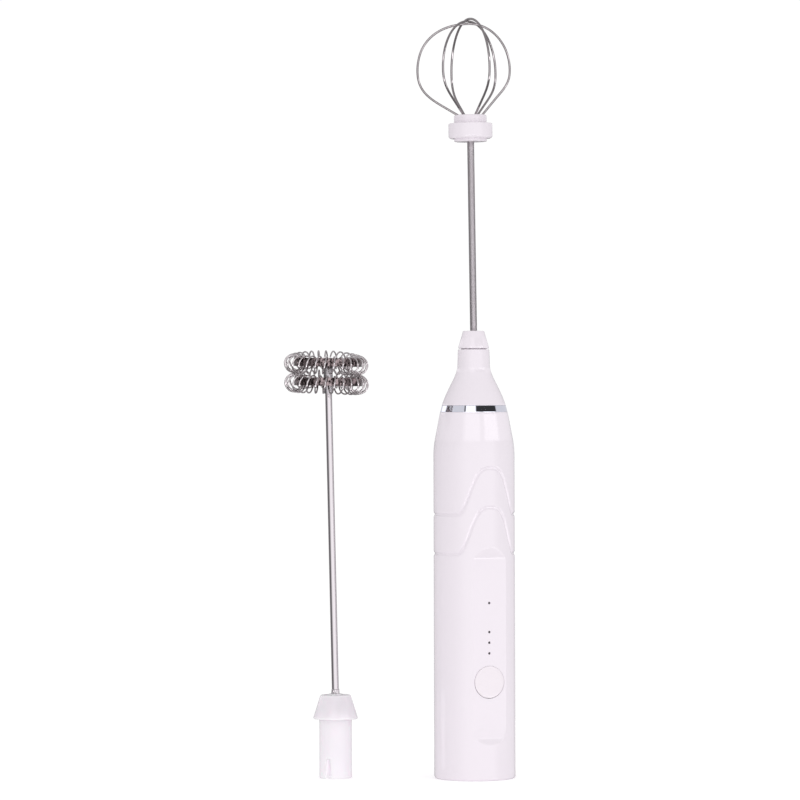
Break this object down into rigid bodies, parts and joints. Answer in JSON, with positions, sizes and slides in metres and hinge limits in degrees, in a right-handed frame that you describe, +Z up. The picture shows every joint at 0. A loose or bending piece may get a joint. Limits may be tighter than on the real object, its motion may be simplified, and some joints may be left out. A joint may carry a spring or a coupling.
{
  "type": "milk frother",
  "caption": "Rechargeable hand-held milk frother standing on its base with a balloon whisk fitted, and a double spring whisk that the same drive hub turns.",
  "frame": {"origin": "centre of the handle's flat base, on the surface it stands on", "axes": "+Z up along the handle and drive axis, -Y out of the push button, +X to the right when facing the button"},
  "size_m": [0.0753, 0.0511, 0.2627],
  "materials": {
    "white_plastic": "gloss",
    "chrome": "mirror",
    "stainless": "polished",
    "plated_steel": "satin",
    "core_steel": "laminated",
    "nickel": "satin",
    "bronze": "satin",
    "copper": "lacquered",
    "magnet": "matte",
    "cell_wrap": "gloss sleeve",
    "board_green": "satin",
    "black_plastic": "matte",
    "carrier_plastic": "matte",
    "motor_plastic": "matte",
    "hub_plastic": "satin",
    "lens": "clear",
    "led_body": "gloss",
    "foam": "matte",
    "silicone": "satin",
    "lead_insulation": "satin"
  },
  "bodies": {
    "handle": {"body_shell": "white_plastic", "base_cap": "white_plastic", "charge_socket_shell": "stainless", "charge_socket_tongue": "black_plastic", "switch_body": "black_plastic", "speed_lens_strip": "lens", "charge_lens": "lens", "circuit_board": "board_green", "board_screws": "stainless", "indicator_leds": "led_body", "control_chips": "black_plastic", "inner_carrier": "carrier_plastic", "battery_cell": "cell_wrap", "cell_tabs": "nickel", "cell_cushion": "foam", "motor_can": "plated_steel", "motor_end_cap": "motor_plastic", "motor_front_bush": "bronze", "motor_rear_bush": "bronze", "motor_terminals": "bronze", "motor_magnets": "magnet", "motor_screws": "stainless", "motor_leads": "lead_insulation", "chrome_ring": "chrome", "nose_cone": "white_plastic", "shaft_seal": "silicone"},
    "power_button": {"button_cap": "white_plastic", "switch_plunger": "black_plastic"},
    "rotor": {"motor_shaft": "stainless", "armature_core": "core_steel", "armature_windings": "copper", "commutator": "copper", "drive_hub": "hub_plastic"},
    "balloon_whisk": {"balloon_plug": "white_plastic", "balloon_rod": "stainless", "wire_hub": "white_plastic", "hub_collar": "white_plastic", "whisk_loop_1": "stainless", "whisk_loop_2": "stainless", "whisk_loop_3": "stainless"},
    "spare_whisk": {"spring_plug": "white_plastic", "spring_rod": "stainless", "head_sleeve": "stainless", "upper_ring_frame": "stainless", "lower_ring_frame": "stainless", "upper_coil": "stainless", "lower_coil": "stainless"}
  },
  "joints": [
    {"name": "drive_spin", "type": "hinge", "parent": "handle", "child": "rotor", "pos_m": [0, 0, 0.12], "axis": [0, 0, 1], "continuous": true},
    {"name": "balloon_pull", "type": "slide", "parent": "rotor", "child": "balloon_whisk", "axis": [0, 0, 1], "range_m": [0, 0.03]},
    {"name": "button_press", "type": "slide", "parent": "handle", "child": "power_button", "axis": [0, 1, 0], "range_m": [0, 0.0004], "stiffness_N_per_m": 2000, "springref_m": -0.0002},
    {"name": "spare_lift", "type": "slide", "parent": "handle", "child": "spare_whisk", "axis": [0, 0, 1], "range_m": [0, 0.12]}
  ]
}
